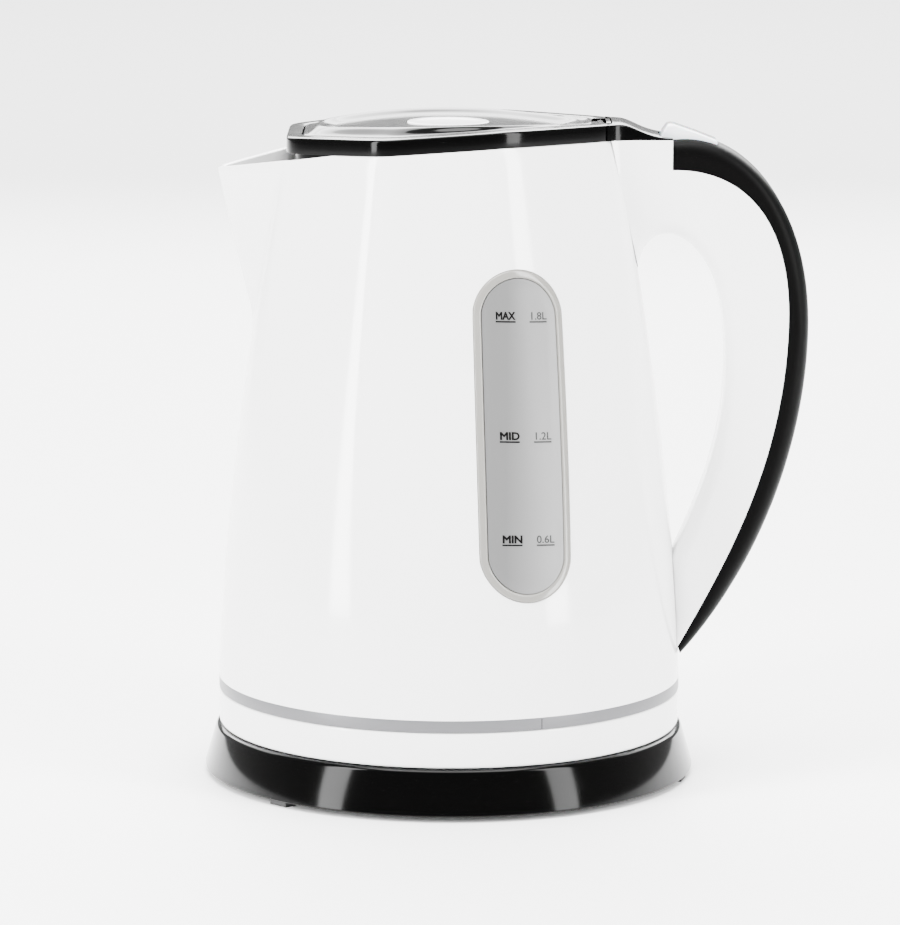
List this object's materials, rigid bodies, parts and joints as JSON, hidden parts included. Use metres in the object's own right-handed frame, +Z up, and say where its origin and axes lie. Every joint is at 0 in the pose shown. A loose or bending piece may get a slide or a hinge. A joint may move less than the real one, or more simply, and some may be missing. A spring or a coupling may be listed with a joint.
{
  "type": "electric kettle",
  "caption": "Cordless plastic kettle: tall tapering jug with an angular top, V spout, hinged lid with a press button, looped handle, level window and a round power base.",
  "frame": {"origin": "middle of the kettle's footprint box, on the worktop under its feet; the jug's own axis is 20.1 mm towards the spout", "axes": "+Z up, +X from the spout towards the handle, -Y towards the water window"},
  "size_m": [0.2202, 0.18, 0.2413],
  "materials": {
    "gloss_black": "polished",
    "gloss_white": "polished",
    "soft_black": "satin soft touch",
    "inner_black": "fine matt",
    "inner_white": "fine matt",
    "satin_silver": "satin silver lacquer",
    "lever_white": "translucent white",
    "button_silver": "pale satin",
    "window_clear": "clear",
    "window_grey": "smoked, lightly frosted",
    "rubber_black": "matt",
    "silicone": "matt",
    "stainless": "fine brushed",
    "zinc_screw": "zinc plated",
    "aluminium": "as rolled",
    "brass": "plain",
    "bimetal": "plain",
    "lead_red": "silicone sleeving"
  },
  "bodies": {
    "base": {"base_skirt": "gloss_black", "base_plate": "inner_black", "base_feet": "rubber_black", "base_screws": "zinc_screw", "base_connector": "inner_black", "base_contacts": "brass", "cord_bush": "rubber_black", "cord_clamp": "inner_white"},
    "turning_stud": {"contact_stud": "zinc_screw"},
    "jug": {"lower_trim": "gloss_white", "waist_band": "satin_silver", "jug_base_cover": "inner_white", "cover_screws": "zinc_screw", "control_unit": "inner_black", "contact_rings": "brass", "safety_bimetal": "bimetal", "heating_element": "aluminium", "heat_spreader": "aluminium", "heating_plate": "stainless", "plate_seal": "silicone", "jug_shell": "gloss_white", "window_frame": "window_clear", "water_window": "window_grey", "window_seal": "silicone", "collar": "gloss_black", "filter_frame": "inner_white", "filter_mesh": "stainless", "handle_shell": "gloss_white", "handle_grip": "soft_black", "switch_body": "inner_black", "steam_bimetal": "bimetal", "switch_leads": "lead_red", "lever_pin": "zinc_screw", "hinge_pin": "zinc_screw"},
    "lever": {"switch_lever": "lever_white"},
    "lid": {"lid_cover": "gloss_black", "lid_inner": "inner_white", "lid_seal": "silicone", "button_spring": "zinc_screw"},
    "button": {"lid_button": "button_silver"},
    "latch": {"lid_latch": "inner_white"}
  },
  "joints": [
    {"name": "jug_turn", "type": "hinge", "parent": "base", "child": "turning_stud", "pos_m": [-0.0201, 0, 0.02], "axis": [0, 0, 1], "continuous": true},
    {"name": "jug_lift", "type": "slide", "parent": "turning_stud", "child": "jug", "axis": [0, 0, 1], "range_m": [0, 0.06]},
    {"name": "lid_hinge", "type": "hinge", "parent": "jug", "child": "lid", "pos_m": [0.0341, 0, 0.2368], "axis": [0, 1, 0], "range_deg": [0, 75]},
    {"name": "button_press", "type": "slide", "parent": "lid", "child": "button", "axis": [0, 0, -1], "range_m": [0, 0.0025], "stiffness_N_per_m": 500, "springref_m": -0.003, "deforming": ["button_spring"]},
    {"name": "latch_draw", "type": "slide", "parent": "lid", "child": "latch", "axis": [1, 0, 0], "range_m": [0, 0.003]},
    {"name": "switch_rock", "type": "hinge", "parent": "jug", "child": "lever", "pos_m": [0.0669, 0, 0.2305], "axis": [0, -1, 0], "range_deg": [0, 8]}
  ],
  "couplings": [
    {"joint": "latch_draw", "follows": "button_press", "ratio": 1.2}
  ]
}
